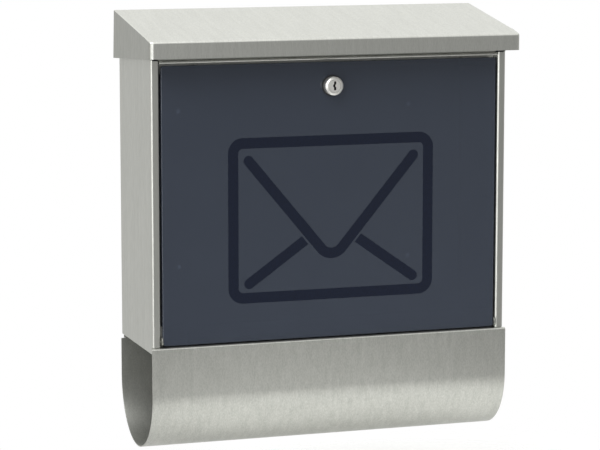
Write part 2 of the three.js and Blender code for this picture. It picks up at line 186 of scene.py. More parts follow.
# %% Floor
floor_drop = 0.05
solid_radius, clear_radius, floor_radius = 0.14, 0.4, 0.42
bpy.ops.mesh.primitive_circle_add(
    vertices=96, radius=floor_radius, fill_type="NGON", location=(0.06, -0.23, cad_low.z - floor_drop)
)
floor = bpy.context.object
floor.name = "floor"
matt_board, tree = new_material("matt_white_board")
place = node(tree, "TexCoord").outputs["Object"]
speckle = node(tree, "TexNoise", {"Vector": place, "Scale": 40.0})
tint = node(
    tree, "Mix", {0: speckle.outputs["Fac"], 6: linear("f8f8f6"), 7: linear("fdfdfc")}, data_type="RGBA"
)
paper = node(tree, "BsdfPrincipled", {"Base Color": tint.outputs[2], "Roughness": 0.9})
from_middle = node(tree, "VectorMath", {0: place}, operation="LENGTH")
fade = node(
    tree, "MapRange",
    {"Value": from_middle.outputs["Value"], 1: solid_radius, 2: clear_radius, 3: 1.0, 4: 0.0},
    interpolation_type="SMOOTHSTEP",
)
clear = node(tree, "BsdfTransparent")
board = node(tree, "MixShader", {0: fade.outputs[0], 1: clear.outputs[0], 2: paper.outputs[0]})
node(tree, "OutputMaterial", {"Surface": board.outputs[0]})
floor.data.materials.append(matt_board)
print("floor", round(floor_drop / MM), "mm below the roll")

# %% [markdown]
# ## Brushed stainless steel
# The casing is 304 stainless sheet that a belt has brushed in one direction. Each scratch is a tenth of
# a millimetre wide, so a highlight stays sharp along the grain and spreads across it. That is what
# anisotropy gives. The scratches are also drawn, as noise that is stretched along the grain. Real ones
# are too fine to show from a few metres, so they are drawn about a millimetre wide. The Tangent node
# gives the direction across the grain: round the Z axis on upright sheet, and from a UV map called
# grain where the sheet turns over a fold.
#
# Four finishes share the function. The sides are brushed upright. The lid is brushed from front to
# back, so its grain crosses the sheet's two long folds. The roll is rougher with no spread, which keeps
# the light on its round soft, and its colour is a little darker as painted shade. The lid's skirts are
# the same steel in a darker colour, which is painted shade for the shade under the lid.

# %% Brushed steel
def brushed_steel(name, pale, dark, scratch_mm, band_mm, rough, tangent, spread=0.35):
    """Brushed sheet: the sizes along X, Y and Z of one scratch, and of the wider bands of the belt."""
    material, tree = new_material(name)
    place = node(tree, "TexCoord").outputs["Object"]
    fine = node(tree, "Mapping", {"Vector": place, "Scale": [1 / (MM * side) for side in scratch_mm]})
    scratch = node(
        tree, "TexNoise", {"Vector": fine.outputs[0], "Scale": 1.0, "Detail": 3.0, "Roughness": 0.65}
    )
    wide = node(tree, "Mapping", {"Vector": place, "Scale": [1 / (MM * side) for side in band_mm]})
    band = node(tree, "TexNoise", {"Vector": wide.outputs[0], "Scale": 1.0, "Detail": 2.0})
    blend = node(
        tree, "Mix", {0: 0.3, 2: scratch.outputs["Fac"], 3: band.outputs["Fac"]}, data_type="FLOAT"
    )
    contrast = node(tree, "MapRange", {"Value": blend.outputs[0], 1: 0.36, 2: 0.64})
    colour = node(
        tree, "Mix", {0: contrast.outputs[0], 6: linear(dark), 7: linear(pale)}, data_type="RGBA"
    )
    roughness = node(
        tree, "MapRange",
        {"Value": scratch.outputs["Fac"], 1: 0.3, 2: 0.7, 3: rough + 0.05, 4: rough - 0.05},
    )
    relief = node(tree, "Bump", {"Strength": 0.2, "Distance": 0.02 * MM, "Height": scratch.outputs["Fac"]})
    metal = node(
        tree, "BsdfPrincipled",
        {
            "Base Color": colour.outputs[2], "Metallic": 1.0, "Roughness": roughness.outputs[0],
            "Normal": relief.outputs[0], "Anisotropic": spread,
            "Tangent": node(tree, "Tangent", **tangent).outputs[0],
        },
    )
    node(tree, "OutputMaterial", {"Surface": metal.outputs[0]})
    return material


around_z = {"direction_type": "RADIAL", "axis": "Z"}
along_u = {"direction_type": "UV_MAP", "uv_map": "grain"}

upright_brushed = brushed_steel(
    "brushed_304_steel_upright", "c8c9c4", "babbb6", (0.8, 0.8, 12), (4, 4, 90), 0.36, around_z
)
lengthwise_brushed = brushed_steel(
    "brushed_304_steel_over_the_fold", "cacbc6", "bcbdb8", (0.8, 4, 4), (4, 50, 50), 0.4, along_u
)
# the roll's darker colours are painted shade; its roughness and lack of spread are real
roll_brushed_painted_shade = brushed_steel(
    "brushed_304_steel_roll_painted_shade", "c3c4bf", "acada8", (0.9, 2.4, 2.4), (5, 20, 20), 0.42, along_u, 0.0
)
# the skirts' darker colours are painted shade
skirt_brushed_painted_shade = brushed_steel(
    "brushed_304_steel_skirt_painted_shade", "b2b3ae", "a4a5a0", (0.8, 0.8, 12), (4, 4, 90), 0.4, around_z
)
for finish in (upright_brushed, lengthwise_brushed, roll_brushed_painted_shade, skirt_brushed_painted_shade):
    print("steel:", finish.name)

# %% [markdown]
# ## Mill finish, drawn, plated and graphited metal
# Inside, nobody polishes the sheet. It keeps the dull, cloudy 2B skin of the rolling mill, with faint
# lines where the rolls ran. The hinge is drawn through a die, which leaves longer and darker lines. The
# small fasteners are steel with a bright zinc plate. The walls of the keyway are brass, dark with the
# graphite that keeps a key running, and their near black is also painted shade of the deep slot. All four
# are clouds and lines of different sizes.

# %% Dull metals
def dull_metal(name, pale, dark, cloud_mm, line_mm, rough, spread):
    """Metal as rolled, drawn or plated: the size of its clouds, and of its lines along X, Y and Z."""
    material, tree = new_material(name)
    place = node(tree, "TexCoord").outputs["Object"]
    clouds = node(tree, "TexNoise", {"Vector": place, "Scale": 1 / (MM * cloud_mm), "Detail": 4.0})
    rolled = node(tree, "Mapping", {"Vector": place, "Scale": [1 / (MM * side) for side in line_mm]})
    lines = node(tree, "TexNoise", {"Vector": rolled.outputs[0], "Scale": 1.0, "Detail": 2.0})
    blend = node(
        tree, "Mix", {0: 0.4, 2: clouds.outputs["Fac"], 3: lines.outputs["Fac"]}, data_type="FLOAT"
    )
    contrast = node(tree, "MapRange", {"Value": blend.outputs[0], 1: 0.35, 2: 0.65})
    colour = node(
        tree, "Mix", {0: contrast.outputs[0], 6: linear(dark), 7: linear(pale)}, data_type="RGBA"
    )
    roughness = node(
        tree, "MapRange",
        {"Value": blend.outputs[0], 1: 0.3, 2: 0.7, 3: rough + 0.06, 4: rough - 0.06},
    )
    relief = node(tree, "Bump", {"Strength": 0.3, "Distance": 0.02 * MM, "Height": blend.outputs[0]})
    metal = node(
        tree, "BsdfPrincipled",
        {
            "Base Color": colour.outputs[2], "Metallic": 1.0, "Roughness": roughness.outputs[0],
            "Normal": relief.outputs[0], "Anisotropic": spread,
        },
    )
    node(tree, "OutputMaterial", {"Surface": metal.outputs[0]})
    return material


mill_finish = dull_metal("mill_finish_2b_steel", "bfc0bb", "b2b3ad", 18, (2, 2, 120), 0.45, 0.2)
drawn_hinge = dull_metal("drawn_hinge_steel", "a6a7a2", "8f908b", 5, (60, 0.8, 0.8), 0.42, 0.4)
zinc_plated = dull_metal("bright_zinc_plated_steel", "c0c4c4", "a3a8a6", 2.5, (3, 3, 3), 0.34, 0.0)
# the keyway's near-black colour is graphite and also painted shade of the deep slot
keyway_graphite_and_shade = dull_metal("graphited_keyway_brass_and_painted_shade", "26241f", "141311", 2, (3, 3, 3), 0.6, 0.0)
for finish in (mill_finish, drawn_hinge, zinc_plated, keyway_graphite_and_shade):
    print("dull metal:", finish.name)

# %% [markdown]
# ## Smoked glass and the print on it
# The door is toughened float glass, 4 mm thick and tinted grey blue in the melt. It could be a volume
# that absorbs light, but the tint sits well enough on the faces, where each crossing colours the light,
# and it stays with the piece when the model is exported. Only about half of the shader is clear, since
# so dark a pane hides most of what is behind it. Toughening leaves the faces very slightly wavy, about
# 40 mm from crest to crest. The envelope is screen printed with a dark ceramic ink, which is fired on
# with the glass, so it is nearly as glossy as the glass, with a grit of 0.8 mm.

# %% Glass and ink
smoked_glass, tree = new_material("smoked_toughened_glass")
place = node(tree, "TexCoord").outputs["Object"]
ripple = node(tree, "TexNoise", {"Vector": place, "Scale": 1 / (40 * MM), "Detail": 1.0})
wave = node(tree, "Bump", {"Strength": 0.15, "Distance": 0.03 * MM, "Height": ripple.outputs["Fac"]})
smoke = node(
    tree, "Mix", {0: ripple.outputs["Fac"], 6: linear("4c5463"), 7: linear("495160")}, data_type="RGBA"
)
pane_shader = node(
    tree, "BsdfPrincipled",
    {
        "Base Color": smoke.outputs[2], "Roughness": 0.03, "IOR": 1.52, "Transmission Weight": 0.55,
        "Specular IOR Level": 0.36, "Normal": wave.outputs[0],
    },
)
node(tree, "OutputMaterial", {"Surface": pane_shader.outputs[0]})

ceramic_ink, tree = new_material("fired_ceramic_ink")
place = node(tree, "TexCoord").outputs["Object"]
grit = node(tree, "TexNoise", {"Vector": place, "Scale": 1 / (0.8 * MM), "Detail": 3.0})
ink = node(
    tree, "Mix", {0: grit.outputs["Fac"], 6: linear("0d1220"), 7: linear("121a2c")}, data_type="RGBA"
)
grit_relief = node(tree, "Bump", {"Strength": 0.1, "Distance": 0.01 * MM, "Height": grit.outputs["Fac"]})
ink_gloss = node(tree, "MapRange", {"Value": grit.outputs["Fac"], 3: 0.1, 4: 0.18})
ink_shader = node(
    tree, "BsdfPrincipled",
    {
        "Base Color": ink.outputs[2], "Roughness": ink_gloss.outputs[0], "Specular IOR Level": 0.38,
        "Normal": grit_relief.outputs[0],
    },
)
node(tree, "OutputMaterial", {"Surface": ink_shader.outputs[0]})
print("glass door:", smoked_glass.name, "with", ceramic_ink.name)

# %% [markdown]
# ## Nickel plate and rubber
# The lock is die cast zinc with a nickel plate, bright in colour but worn to a satin by hands and keys.
# It has a faint orange peel of 1.5 mm, and hair scratches that run across it at a slant. Real hairs are
# hundredths of a millimetre wide, and are drawn at 0.4 mm to show. The buffers and seals are EPDM
# rubber, moulded, matt and a little dusty, with a fine grain from the mould.

# %% Nickel and rubber
nickel_plate, tree = new_material("bright_nickel_plate")
place = node(tree, "TexCoord").outputs["Object"]
peel = node(tree, "TexNoise", {"Vector": place, "Scale": 1 / (1.5 * MM), "Detail": 2.0})
hair_width, hair_length = 0.4 * MM, 4 * MM
rubbed = node(
    tree, "Mapping",
    {
        "Vector": place, "Rotation": (0, radians(35), 0),
        "Scale": (1 / hair_width, 1 / hair_width, 1 / hair_length),
    },
)
hairs = node(tree, "TexNoise", {"Vector": rubbed.outputs[0], "Scale": 1.0, "Detail": 2.0})
plate = node(
    tree, "Mix", {0: peel.outputs["Fac"], 6: linear("e9e8e4"), 7: linear("f1f0ed")}, data_type="RGBA"
)
plate_gloss = node(
    tree, "MapRange", {"Value": hairs.outputs["Fac"], 1: 0.35, 2: 0.65, 3: 0.42, 4: 0.52}
)
peel_relief = node(tree, "Bump", {"Strength": 0.12, "Distance": 0.02 * MM, "Height": peel.outputs["Fac"]})
plate_shader = node(
    tree, "BsdfPrincipled",
    {
        "Base Color": plate.outputs[2], "Metallic": 1.0, "Roughness": plate_gloss.outputs[0],
        "Normal": peel_relief.outputs[0],
    },
)
node(tree, "OutputMaterial", {"Surface": plate_shader.outputs[0]})

epdm_rubber, tree = new_material("moulded_epdm_rubber")
place = node(tree, "TexCoord").outputs["Object"]
bloom = node(tree, "TexNoise", {"Vector": place, "Scale": 1 / (3 * MM), "Detail": 4.0})
grain = node(tree, "TexNoise", {"Vector": place, "Scale": 1 / (0.4 * MM), "Detail": 2.0})
soot = node(
    tree, "Mix", {0: bloom.outputs["Fac"], 6: linear("17181a"), 7: linear("26272a")}, data_type="RGBA"
)
rubber_gloss = node(tree, "MapRange", {"Value": bloom.outputs["Fac"], 3: 0.62, 4: 0.82})
rubber_relief = node(
    tree, "Bump", {"Strength": 0.3, "Distance": 0.03 * MM, "Height": grain.outputs["Fac"]}
)
rubber_shader = node(
    tree, "BsdfPrincipled",
    {
        "Base Color": soot.outputs[2], "Roughness": rubber_gloss.outputs[0],
        "Normal": rubber_relief.outputs[0],
    },
)
node(tree, "OutputMaterial", {"Surface": rubber_shader.outputs[0]})
print("small parts:", nickel_plate.name, epdm_rubber.name)

# %% [markdown]
# ## Working by hand, in code
# The pieces below are modelled as they would be with a mouse: add a primitive, go into edit mode, pick
# faces or edges, and extrude, bevel, inset or bisect them. Picking is done by place, in millimetres.
# Each piece's transform is applied as soon as the primitive exists, so edit mode shows frame positions.

# %% Modelling helpers
along_y = (radians(90), 0, 0)  # turns a cylinder's axis, or a plane's face, from Z to Y


def pick(piece):
    """Selects one piece and nothing else."""
    bpy.ops.object.select_all(action="DESELECT")
    piece.select_set(True)
    bpy.context.view_layer.objects.active = piece


def begin(kind, name, size=(1, 1, 1), **settings):
    """Adds a primitive with nothing else selected, sizes it and opens it in edit mode."""
    bpy.ops.object.select_all(action="DESELECT")
    if kind in ("plane", "cube"):
        settings["size"] = 1
    getattr(bpy.ops.mesh, f"primitive_{kind}_add")(**settings)
    piece = bpy.context.object
    piece.name = piece.data.name = name
    piece.scale = size
    bpy.ops.object.transform_apply(location=True, rotation=True, scale=True)
    bpy.ops.object.mode_set(mode="EDIT")
    return piece


def mm(*values):
    """Millimetres as the metres that Blender wants."""
    return [value * MM for value in values]


def choose(kind, test):
    """Selects the vertices, edges or faces of the piece in edit mode whose middle passes the test."""
    bpy.ops.mesh.select_mode(type=kind)
    bpy.ops.mesh.select_all(action="DESELECT")
    cage = bmesh.from_edit_mesh(bpy.context.object.data)
    cage.normal_update()
    parts = {"VERT": cage.verts, "EDGE": cage.edges, "FACE": cage.faces}[kind]
    for part in parts:
        middle = part.co if kind == "VERT" else sum((v.co for v in part.verts), Vector()) / len(part.verts)
        part.select_set(bool(test(middle / MM, part)))
    cage.select_flush_mode()
    bmesh.update_edit_mesh(bpy.context.object.data)
    if not any(part.select for part in parts):
        raise ValueError(f"nothing chosen on {bpy.context.object.name}")


def near(a, b, slack=0.05):
    """Whether two lengths in mm are the same, but for the slack."""
    return abs(a - b) < slack


def extrude(*way):
    """Draws what is selected out by this many mm along X, Y and Z."""
    bpy.ops.mesh.extrude_region_move(TRANSFORM_OT_translate={"value": mm(*way)})


def cut(point, normal, whole=True, **clear):
    """Bisects the whole piece, or only what is selected, at a plane through a point in mm."""
    if whole:
        bpy.ops.mesh.select_all(action="SELECT")
    bpy.ops.mesh.bisect(plane_co=mm(*point), plane_no=normal, **clear)


def round_edges(radius, segments, test):
    """Bevels the chosen edges to a round of this radius, as a press brake or a belt would."""
    choose("EDGE", test)
    bpy.ops.mesh.bevel(
        offset=radius * MM, segments=segments, profile=0.5, affect="EDGES", clamp_overlap=False
    )


def modify(piece, kind, **settings):
    """Adds one modifier and applies it."""
    pick(piece)
    made = piece.modifiers.new(kind.lower(), kind)
    for name, value in settings.items():
        setattr(made, name, value)
    bpy.ops.object.modifier_apply(modifier=made.name)


def thicken(piece, thickness):
    """Leaves edit mode and gives the sheet its thickness, inwards from the outside skin."""
    bpy.ops.mesh.select_all(action="SELECT")
    bpy.ops.mesh.remove_doubles(threshold=0.01 * MM)
    outward()
    leave()
    modify(piece, "SOLIDIFY", thickness=thickness * MM, offset=-1.0, use_even_offset=True)


def subtract(piece, cutter, operation="DIFFERENCE"):
    """Cuts one closed shape out of another, or adds it, and deletes the tool."""
    modify(piece, "BOOLEAN", object=cutter, operation=operation, solver="EXACT")
    bpy.data.objects.remove(cutter)


def leave():
    """Ends edit mode."""
    bpy.ops.object.mode_set(mode="OBJECT")


def outward():
    """Points all faces of the piece in edit mode outwards."""
    bpy.ops.mesh.select_all(action="SELECT")
    bpy.ops.mesh.normals_make_consistent(inside=False)


def map_grain(piece):
    """A UV map, projected from the sides of a cube, whose U runs across the brushed grain."""
    pick(piece)
    bpy.ops.object.mode_set(mode="EDIT")
    bpy.ops.mesh.select_all(action="SELECT")
    bpy.ops.uv.cube_project(cube_size=2)
    leave()
    piece.data.uv_layers[0].name = "grain"


def corners(points):
    """The lowest and the highest corner, in mm, of the box round some points."""
    columns = list(zip(*points))
    return Vector(map(min, columns)) / MM, Vector(map(max, columns)) / MM


def complete(piece, body, material, node_name=None, arris=0.12, angle=35):
    """Breaks the sharp edges, smooths the shading, and hands the piece to its body.

    The arris is the width of a broken edge in mm. A bevel can leave two points in one place, which are
    welded, so that the skin stays closed. Weighted normals keep the flat faces looking flat.
    """
    if arris:
        modify(
            piece, "BEVEL", width=arris * MM, segments=2, limit_method="ANGLE", angle_limit=radians(50),
            use_clamp_overlap=True,
        )
        modify(piece, "WELD", merge_threshold=0.0001 * MM)
    pick(piece)
    bpy.ops.object.shade_smooth_by_angle(angle=radians(angle))
    modify(piece, "WEIGHTED_NORMAL", mode="FACE_AREA", weight=100, keep_sharp=True)
    piece.data.materials.clear()
    piece.data.materials.append(material)
    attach(piece, body)
    low, high = corners(point.co for point in piece.data.vertices)
    text = f"{piece.name}: {[round(v, 1) for v in low]} to {[round(v, 1) for v in high]}"
    if node_name:
        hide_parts(node_name)
        model_low, model_high = corners(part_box(node_name))
        gap = max(abs(value) for value in (*(low - model_low), *(high - model_high)))
        text += f", {gap:.2f} mm from the model's box"
    print(text, "-", len(piece.data.polygons), "faces")


def copy_of(piece, name):
    """A copy with its own mesh."""
    twin = piece.copy()
    twin.data = piece.data.copy()
    twin.name = twin.data.name = name
    bpy.context.collection.objects.link(twin)
    return twin


def mirror_over(piece):
    """Turns a copy into its mirror image in the plane X = 0."""
    pick(piece)
    bpy.ops.object.mode_set(mode="EDIT")
    bpy.ops.mesh.select_all(action="SELECT")
    bpy.ops.transform.resize(value=(-1, 1, 1), center_override=(0, 0, 0))
    bpy.ops.mesh.flip_normals()
    leave()


print("helpers for sheet, turned and moulded pieces are ready")

# %% [markdown]
# ## Sizes that several pieces share
# The model gives the place of each node, and most lines that the sheet metal is folded along follow
# from those. A few sizes can't be read from a box, such as the thickness of the sheet or the height of
# the lip, so they are repeated here in millimetres.

# %% Shared sizes
def box_mm(name):
    """The lowest and highest corners of one of the model's nodes, in mm."""
    low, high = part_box(name)
    return low / MM, high / MM


steel = 1.0  # thickness of the sheet
fold = 2.0  # outside radius of a fold
seam = 0.3  # clearance between two sheets that touch
side_low, side_high = box_mm("left_side_panel")
pane_low, pane_high = box_mm("glass_pane")
rail_low, rail_high = box_mm("top_rail")
roll_low, roll_high = box_mm("newspaper_roll")
lid_low, lid_high = box_mm("lid")
lock_low, lock_high = box_mm("lock_housing")
lock_z = (lock_low.z + lock_high.z) / 2
front = side_low.y  # the frame's face
frame_return = 10.0  # how far the frame's inner leg reaches back
lid_slope = radians(9.4)
lip_bottom, lip_top = 145.0, 161.5
nose_bottom, nose_top = 138.5, 141.6  # the small fold that shows under the lip
print("sheet", steel, "mm; lock centre at height", round(lock_z, 2))

# %% [markdown]
# ## The casing's sides
# Each side is one strip: the side itself, a narrow frame folded in front of the glass and a short leg
# folded back beside it. A bevelled box would be quicker, but it would have none of the folds that catch
# the light, so the strip is folded as the real one is. A plane is the side. Its front edge is extruded
# twice, which gives the frame and the leg, and the two fold lines are bevelled to the radius of a press
# brake. Cuts take off the sloping top under the lid, the frame below the door, where the newspaper roll
# sits, and a short piece of the frame in line with the top rail's groove, which leaves a dark gap under
# the lip.

# %% Casing sides
def lid_line(y, below):
    """Height of the lid's top face at y, measured down square to the slope."""
    return lip_top + (y - lid_low.y) * tan(lid_slope) - below / cos(lid_slope)


sill = roll_high.z + seam
gap_top = nose_top + 4
tall = lid_high.z + 2
inside = side_low.x + 0.5  # everything right of this is frame or leg
behind_fold = front + 3
back_top = box_mm("back_panel")[1].z
snip_y = -1.8  # above the back panel the side ends here, clear of the hinge
left_side = begin(
    "plane", "casing_side_left", size=mm(tall - side_low.z, -front, 1),
    location=mm(side_low.x, front / 2, (tall + side_low.z) / 2), rotation=(0, radians(-90), 0),
)
choose("EDGE", lambda p, e: near(p.y, front))
extrude(side_high.x - side_low.x, 0, 0)
extrude(0, frame_return, 0)
for height in (sill, nose_top, gap_top):
    cut((0, 0, height), (0, 0, 1))
cut((0, behind_fold, 0), (0, 1, 0))
choose("FACE", lambda p, f: p.z < sill and (p.x > inside or p.y < behind_fold))
bpy.ops.mesh.delete(type="FACE")
choose("FACE", lambda p, f: nose_top < p.z < gap_top and p.x > inside)
bpy.ops.mesh.delete(type="FACE")
cut((0, front, lid_line(front, 3)), (0, -sin(lid_slope), cos(lid_slope)), clear_outer=True)
cut((0, snip_y, 0), (0, 1, 0))
choose("FACE", lambda p, f: p.y > snip_y)
cut((0, 0, back_top), (0, 0, 1), whole=False)
choose("FACE", lambda p, f: p.y > snip_y and p.z > back_top)
bpy.ops.mesh.delete(type="FACE")
for line, radius in ((side_low.x, fold), (side_high.x, 1.3 * fold)):
    round_edges(
        radius, 8,
        lambda p, e: near(p.y, front) and near(p.x, line)
        and e.calc_length() > 20 * MM and not e.is_boundary,
    )
thicken(left_side, steel)
pivot_y, pivot_z, pivot_radius = -117.5, -134.0, 1.6
pivot = begin(
    "cylinder", "pivot_drill", vertices=24, radius=pivot_radius * MM, depth=8 * MM,
    location=mm(side_high.x, pivot_y, pivot_z), rotation=(0, radians(90), 0),
)
leave()
subtract(left_side, pivot)
right_side = copy_of(left_side, "casing_side_right")
mirror_over(right_side)
complete(left_side, "casing", upright_brushed, "left_side_panel")
complete(right_side, "casing", upright_brushed, "right_side_panel")

# %% [markdown]
# ## The top rail
# A folded channel runs across the casing above the door. Its lowest part is a small nose, which shows
# as a thin light line between the lip and the glass. Above the nose the sheet turns in and out again,
# a groove that carries rain to the sides, and then goes up and over to the back. Below, one leg hangs
# behind the glass, where the lock's cam catches it. The rail starts as the nose's face, and the other
# faces are extruded from its two long edges, one fold at a time, as a press would make them.

# %% Top rail
groove_depth, groove_height, hem = 5.0, 7.0, 7.0
rail = begin(
    "plane", "frame_top_rail", size=mm(rail_high.x - rail_low.x, nose_top - nose_bottom, 1),
    location=mm(0, rail_low.y, (nose_bottom + nose_top) / 2), rotation=along_y,
)
choose("EDGE", lambda p, e: near(p.z, nose_bottom))
extrude(0, frame_return, 0)
extrude(0, 0, rail_low.z - nose_bottom)
choose("EDGE", lambda p, e: near(p.z, nose_top))
for way in (
    (0, groove_depth, 0),
    (0, 0, groove_height),
    (0, -groove_depth, 0),
    (0, 0, rail_high.z - nose_top - groove_height),
    (0, rail_high.y - rail_low.y, 0),
    (0, 0, -hem),
):
    extrude(*way)


def long_edge(place, y, z):
    """Whether an edge runs the length of the rail at this depth and height."""
    return near(place.x, 0) and near(place.y, y) and near(place.z, z)


round_edges(fold - steel, 5, lambda p, e: long_edge(p, rail_low.y + frame_return, nose_bottom))
round_edges(
    1.4, 6,
    lambda p, e: long_edge(p, rail_low.y, nose_bottom) or long_edge(p, rail_low.y, nose_top),
)
round_edges(
    fold, 6,
    lambda p, e: long_edge(p, rail_low.y, rail_high.z) or long_edge(p, rail_high.y, rail_high.z),
)
thicken(rail, steel)
complete(rail, "casing", upright_brushed, "top_rail")

# %% [markdown]
# ## The newspaper roll
# One long sheet makes the holder below the box: a ledge under the door, a straight front, a half round
# underneath and a flat back that laps the back panel. A curve with a profile could be lofted, but a
# spin is what a roller bender does: the front's lower edge is spun half a turn about the roll's axis,
# and goes on straight from there. The grain runs up the front and on round the curve, so this piece
# has a UV map for it.

# %% Newspaper roll
roll_back = -steel - seam
roll_radius = (roll_back - roll_low.y) / 2
axis_y, axis_z = roll_low.y + roll_radius, roll_low.z + roll_radius
ledge_width, lap_height = 12.0, 37.4
inner_x = -side_low.x - steel - seam  # the ledge is narrower where it goes inside the casing
inner_y = front - seam
roll = begin(
    "plane", "newspaper_holder", size=mm(roll_high.x - roll_low.x, ledge_width, 1),
    location=mm(0, roll_low.y + ledge_width / 2, roll_high.z),
)
cut((-inner_x, 0, 0), (1, 0, 0))
cut((inner_x, 0, 0), (1, 0, 0))
cut((0, inner_y, 0), (0, 1, 0))
choose("FACE", lambda p, f: abs(p.x) > inner_x and p.y > inner_y)
bpy.ops.mesh.delete(type="FACE")
choose("EDGE", lambda p, e: near(p.y, roll_low.y))
extrude(0, 0, axis_z - roll_high.z)
bpy.ops.mesh.spin(steps=56, angle=radians(-180), center=mm(0, axis_y, axis_z), axis=(1, 0, 0))
choose("EDGE", lambda p, e: near(p.z, axis_z) and near(p.y, roll_back, 0.5))
extrude(0, 0, lap_height)
round_edges(fold, 6, lambda p, e: near(p.y, roll_low.y) and near(p.z, roll_high.z))
thicken(roll, steel)
map_grain(roll)
complete(roll, "casing", roll_brushed_painted_shade, "newspaper_roll")

# %% [markdown]
# ## The lid
# The lid is a shallow cap: a sloping top, a lip at the front and a skirt at each side. It could be a
# plane whose edges are extruded down, but a block has all four faces at once. It is added at the lid's
# size and its upper front edge is lowered to make the slope. The underside and the back are
# deleted, the front corners and the nose are rounded, and the skin gets the thickness of the sheet.
# The skirts take a second material, whose grain stands upright like the casing's and whose darker colour is
# painted shade.

# %% Lid
lid_corner, lid_nose, lid_edge = 4.5, 2.2, 0.8  # radii of the folds
lid_back = -4.8
lid_middle = (lid_low + lid_high) / 2
lid = begin("cube", "sloped_lid", size=(lid_high - lid_low) * MM, location=lid_middle * MM)
choose("FACE", lambda p, f: near(p.z, lid_low.z) or near(p.y, lid_high.y))
bpy.ops.mesh.delete(type="ONLY_FACE")
choose("VERT", lambda p, v: p.y < lid_middle.y and p.z > lid_middle.z)
bpy.ops.transform.translate(value=mm(0, 0, lip_top - lid_high.z))
choose("VERT", lambda p, v: p.y < lid_middle.y and p.z < lid_middle.z)
bpy.ops.transform.translate(value=mm(0, 0, lip_bottom - lid_low.z))
choose("VERT", lambda p, v: p.y > lid_middle.y and p.z > lid_middle.z)
bpy.ops.transform.translate(value=mm(0, lid_back - lid_high.y, 0))
choose("EDGE", lambda p, e: near(p.z, lid_low.z) or near(p.y, lid_high.y))
bpy.ops.mesh.delete(type="EDGE")
round_edges(lid_corner, 8, lambda p, e: near(p.y, lid_low.y) and near(abs(p.x), lid_high.x))
round_edges(
    lid_nose, 6,
    lambda p, e: p.y < lid_low.y + lid_corner + 0.1 and lip_top - 0.3 < p.z < lip_top + 1,
)
round_edges(
    lid_edge, 3,
    lambda p, e: near(abs(p.x), lid_high.x, 0.3) and p.z > lip_top + 2 and e.calc_length() > 50 * MM,
)
thicken(lid, steel)
map_grain(lid)
complete(lid, "lid", lengthwise_brushed, "lid", angle=30)
lid.data.materials.append(skirt_brushed_painted_shade)
for face in lid.data.polygons:
    if abs(face.normal.x) > 0.75:
        face.material_index = 1
print("lid skirts with upright grain:", sum(face.material_index for face in lid.data.polygons), "faces")

# %% [markdown]
# ## The glass
# The pane is cut with small round corners. Its edges are ground and polished, with a narrow arris all
# round that catches the light as a thin line. The arris is bevelled here, on the outline alone, because
# a bevel by angle would also break the edge of the lock's hole, which the seal covers.

# %% Glass pane
pane_corner, pane_arris, lock_hole = 3.0, 0.5, 8.3
pane = begin(
    "cube", "smoked_glass_door", size=(pane_high - pane_low) * MM, location=(pane_low + pane_high) / 2 * MM
)
round_edges(
    pane_corner, 6,
    lambda p, e: near(abs(p.x), pane_high.x) and (near(p.z, pane_low.z) or near(p.z, pane_high.z)),
)
choose("FACE", lambda p, f: abs(f.normal.y) > 0.9)
bpy.ops.mesh.region_to_loop()
bpy.ops.mesh.bevel(offset=pane_arris * MM, segments=2, affect="EDGES", clamp_overlap=False)
leave()


def turned(name, radius, y_from, y_to, sides=64, **settings):
    """A cylinder on the lock's axis, from one depth to another, in edit mode."""
    return begin(
        "cylinder", name, vertices=sides, radius=radius * MM, depth=(y_to - y_from) * MM,
        location=mm(0, (y_from + y_to) / 2, lock_z), rotation=along_y, **settings,
    )


drill = turned("glass_drill", lock_hole, pane_low.y - 10, pane_low.y + 10)
leave()
subtract(pane, drill)
complete(pane, "door", smoked_glass, "glass_pane", arris=0, angle=20)

# %% [markdown]
# ## The printed envelope
# A plain envelope is printed on the pane: a rounded frame, a flap whose two arms meet in a round bend,
# and two short strokes for the lower folds. It could be a pattern inside the glass's material, but the
# ink stands on the pane with an edge of its own, so it is a film. Each stroke is a flat strip. An arm
# is turned into place, its end is spun round the bend and drawn out again, and round ends are bevelled
# corners. The ink is 0.08 mm thick, thicker than a real print, so that it never flickers with the face
# of the glass.

# %% Envelope print
ink_depth = 0.08
ink_y = pane_low.y - 0.02
stroke = 10.5
round_end = stroke / 2 - 0.02


def ink_film(piece):
    """Turns a flat outline into a thin film in front of the glass."""
    bpy.ops.mesh.select_all(action="SELECT")
    bpy.ops.mesh.remove_doubles(threshold=0.01 * MM)
    outward()
    cage = bmesh.from_edit_mesh(piece.data)
    if sum(face.normal.y * face.calc_area() for face in cage.faces) > 0:
        bpy.ops.mesh.flip_normals()
    leave()
    modify(piece, "SOLIDIFY", thickness=ink_depth * MM, offset=1.0)
    complete(piece, "door", ceramic_ink, arris=0, angle=30)


def flat(name, centre, size):
    """A plane that faces the front, in edit mode."""
    return begin(
        "plane", name, size=mm(size[0], size[1], 1), location=mm(centre[0], ink_y, centre[1]),
        rotation=along_y,
    )


def round_corners(radius, test):
    """Bevels the chosen corners of a flat outline."""
    choose("VERT", test)
    bpy.ops.mesh.bevel(offset=radius * MM, segments=12, affect="VERTICES", clamp_overlap=False)


def swing(angle, x, z):
    """Turns the whole stroke in the plane of the print, about the point at x and z."""
    bpy.ops.mesh.select_all(action="SELECT")
    bpy.ops.transform.rotate(
        value=angle, orient_axis="Y", orient_matrix=((1, 0, 0), (0, 1, 0), (0, 0, 1)),
        center_override=mm(x, ink_y, z),
    )


frame_x, frame_z = 107.3, (-100.4, 63.9)
outline = flat("envelope_frame", (0, sum(frame_z) / 2), (2 * frame_x, frame_z[1] - frame_z[0]))
round_corners(15, lambda p, v: True)
bpy.ops.mesh.select_all(action="SELECT")
bpy.ops.mesh.inset(thickness=stroke * MM, use_even_offset=True)
bpy.ops.mesh.delete(type="FACE")
ink_film(outline)

